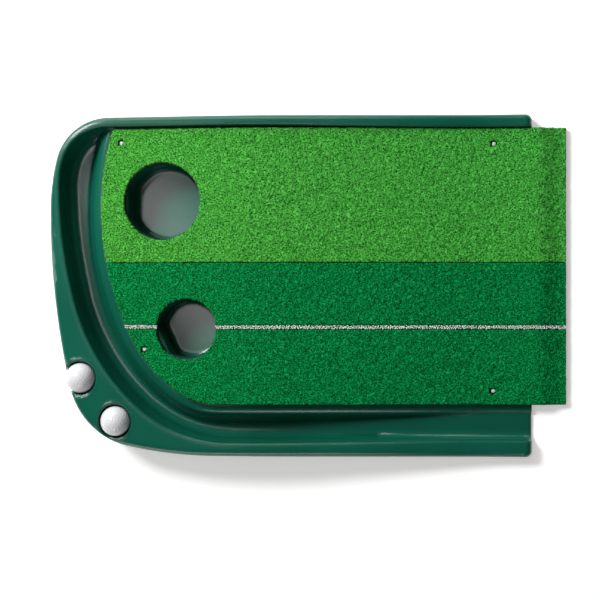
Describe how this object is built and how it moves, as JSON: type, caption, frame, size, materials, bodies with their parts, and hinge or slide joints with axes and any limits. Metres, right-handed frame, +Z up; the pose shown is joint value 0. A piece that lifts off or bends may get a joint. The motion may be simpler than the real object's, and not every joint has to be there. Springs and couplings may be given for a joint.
{
  "type": "practice putting mat",
  "caption": "Short putting mat with a moulded ball-return tray, a large and a small cup, fast and slow turf lanes and stored balls.",
  "frame": {"origin": "on the floor, below the middle of the whole mat's box", "axes": "+X along the lanes from the cups to the open mouth, +Y towards the fast lane, +Z up"},
  "size_m": [0.7328, 0.484, 0.079],
  "materials": {
    "tray_plastic": "glossy moulded, dark green",
    "fast_pile": "short dense pile, light green, speckled",
    "slow_pile": "short dense pile, darker green, speckled",
    "turf_backing": "matte foam rubber",
    "line_yarn": "white tufted yarn",
    "tape": "woven tape, grey",
    "clear_rivet": "clear, glossy",
    "retainer_plastic": "natural, satin",
    "pad_rubber": "matte, soft",
    "ball_cover": "white, glossy, dimpled"
  },
  "bodies": {
    "mat": {"fast_turf": "fast_pile", "fast_turf_backing": "turf_backing", "guide_line": "line_yarn", "large_cup_pad": "pad_rubber", "mouth_pad": "pad_rubber", "return_tray": "tray_plastic", "rivet_retainer_1": "retainer_plastic", "rivet_retainer_2": "retainer_plastic", "rivet_retainer_3": "retainer_plastic", "rivet_retainer_4": "retainer_plastic", "seam_tape": "tape", "slow_turf": "slow_pile", "slow_turf_backing": "turf_backing", "small_cup_pad": "pad_rubber", "turf_rivet_1": "clear_rivet", "turf_rivet_2": "clear_rivet", "turf_rivet_3": "clear_rivet", "turf_rivet_4": "clear_rivet"},
    "ball_left": {"ball_left": "ball_cover"},
    "ball_right": {"ball_right": "ball_cover"}
  },
  "joints": [
    {"name": "left_ball_lift", "type": "slide", "parent": "mat", "child": "ball_left", "axis": [0, 0, 1], "range_m": [0, 0.08]},
    {"name": "right_ball_lift", "type": "slide", "parent": "mat", "child": "ball_right", "axis": [0, 0, 1], "range_m": [0, 0.08]}
  ]
}
